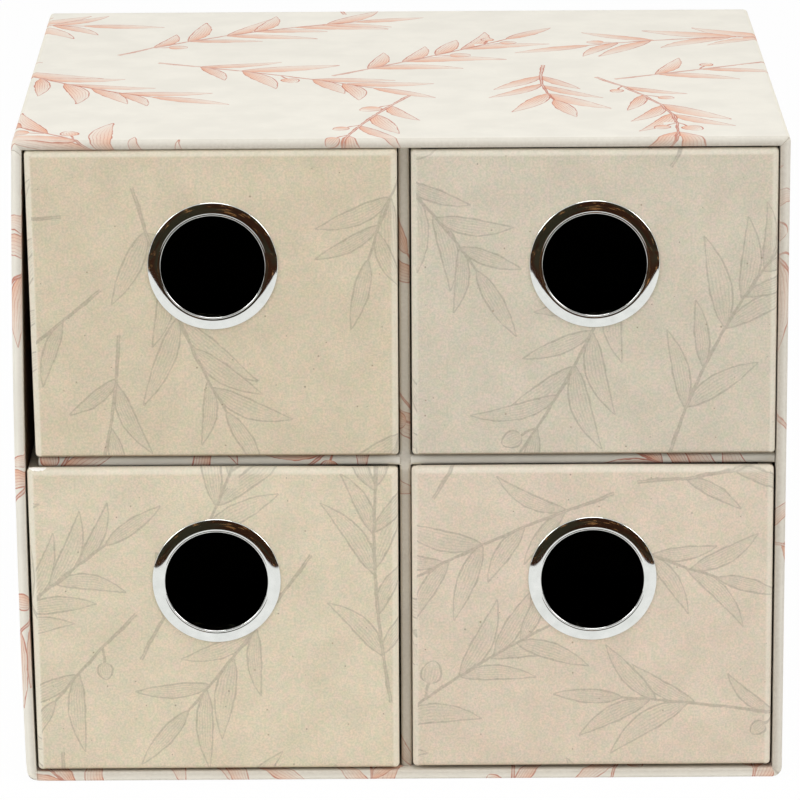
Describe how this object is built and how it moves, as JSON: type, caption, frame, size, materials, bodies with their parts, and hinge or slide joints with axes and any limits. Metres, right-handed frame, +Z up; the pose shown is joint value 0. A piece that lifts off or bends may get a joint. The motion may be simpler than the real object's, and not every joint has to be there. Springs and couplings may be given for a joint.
{
  "type": "desktop mini drawers",
  "caption": "Paper-covered board chest on a desk with a cross-shaped insert and open tray drawers, each with a plated metal finger ring.",
  "frame": {"origin": "centre of the bounding box's underside, where the chest stands on the desk", "axes": "+Z up, -Y out of the drawers' fronts, +X to the right seen from the front"},
  "size_m": [0.1851, 0.157, 0.16],
  "materials": {
    "greyboard": "uncoated grey millboard, 2 mm",
    "printed_casing_paper": "off-white uncoated paper with a terracotta line print of leafy sprigs",
    "plain_cover_paper": "off-white uncoated paper, plain",
    "dark_lining_paper": "black uncoated lining paper",
    "printed_drawer_paper": "flecked beige recycled paper with a faint grey line print of leafy sprigs",
    "plated_ring": "bright nickel-chrome plated pressed steel",
    "plated_washer": "bright nickel-chrome plated pressed steel"
  },
  "bodies": {
    "casing": {"back_sheet": "plain_cover_paper", "base_sheet": "plain_cover_paper", "casing_back_board": "greyboard", "casing_bottom_board": "greyboard", "casing_left_board": "greyboard", "casing_lining": "dark_lining_paper", "casing_right_board": "greyboard", "casing_top_board": "greyboard", "casing_wrap": "printed_casing_paper", "divider_board": "greyboard", "divider_edge_strip": "printed_casing_paper", "divider_facing": "dark_lining_paper", "shelf_board": "greyboard", "shelf_edge_strip": "printed_casing_paper", "shelf_facing": "dark_lining_paper"},
    "drawer_upper_left": {"upper_left_back_board": "greyboard", "upper_left_bottom_board": "greyboard", "upper_left_finger_ring": "plated_ring", "upper_left_front_board": "greyboard", "upper_left_left_board": "greyboard", "upper_left_lining": "dark_lining_paper", "upper_left_right_board": "greyboard", "upper_left_ring_washer": "plated_washer", "upper_left_wrap": "printed_drawer_paper"},
    "drawer_upper_right": {"upper_right_back_board": "greyboard", "upper_right_bottom_board": "greyboard", "upper_right_finger_ring": "plated_ring", "upper_right_front_board": "greyboard", "upper_right_left_board": "greyboard", "upper_right_lining": "dark_lining_paper", "upper_right_right_board": "greyboard", "upper_right_ring_washer": "plated_washer", "upper_right_wrap": "printed_drawer_paper"},
    "drawer_lower_left": {"lower_left_back_board": "greyboard", "lower_left_bottom_board": "greyboard", "lower_left_finger_ring": "plated_ring", "lower_left_front_board": "greyboard", "lower_left_left_board": "greyboard", "lower_left_lining": "dark_lining_paper", "lower_left_right_board": "greyboard", "lower_left_ring_washer": "plated_washer", "lower_left_wrap": "printed_drawer_paper"},
    "drawer_lower_right": {"lower_right_back_board": "greyboard", "lower_right_bottom_board": "greyboard", "lower_right_finger_ring": "plated_ring", "lower_right_front_board": "greyboard", "lower_right_left_board": "greyboard", "lower_right_lining": "dark_lining_paper", "lower_right_right_board": "greyboard", "lower_right_ring_washer": "plated_washer", "lower_right_wrap": "printed_drawer_paper"}
  },
  "joints": [
    {"name": "upper_left_slide", "type": "slide", "parent": "casing", "child": "drawer_upper_left", "axis": [0, -1, 0], "range_m": [0, 0.152]},
    {"name": "upper_right_slide", "type": "slide", "parent": "casing", "child": "drawer_upper_right", "axis": [0, -1, 0], "range_m": [0, 0.152]},
    {"name": "lower_left_slide", "type": "slide", "parent": "casing", "child": "drawer_lower_left", "axis": [0, -1, 0], "range_m": [0, 0.152]},
    {"name": "lower_right_slide", "type": "slide", "parent": "casing", "child": "drawer_lower_right", "axis": [0, -1, 0], "range_m": [0, 0.152]}
  ]
}
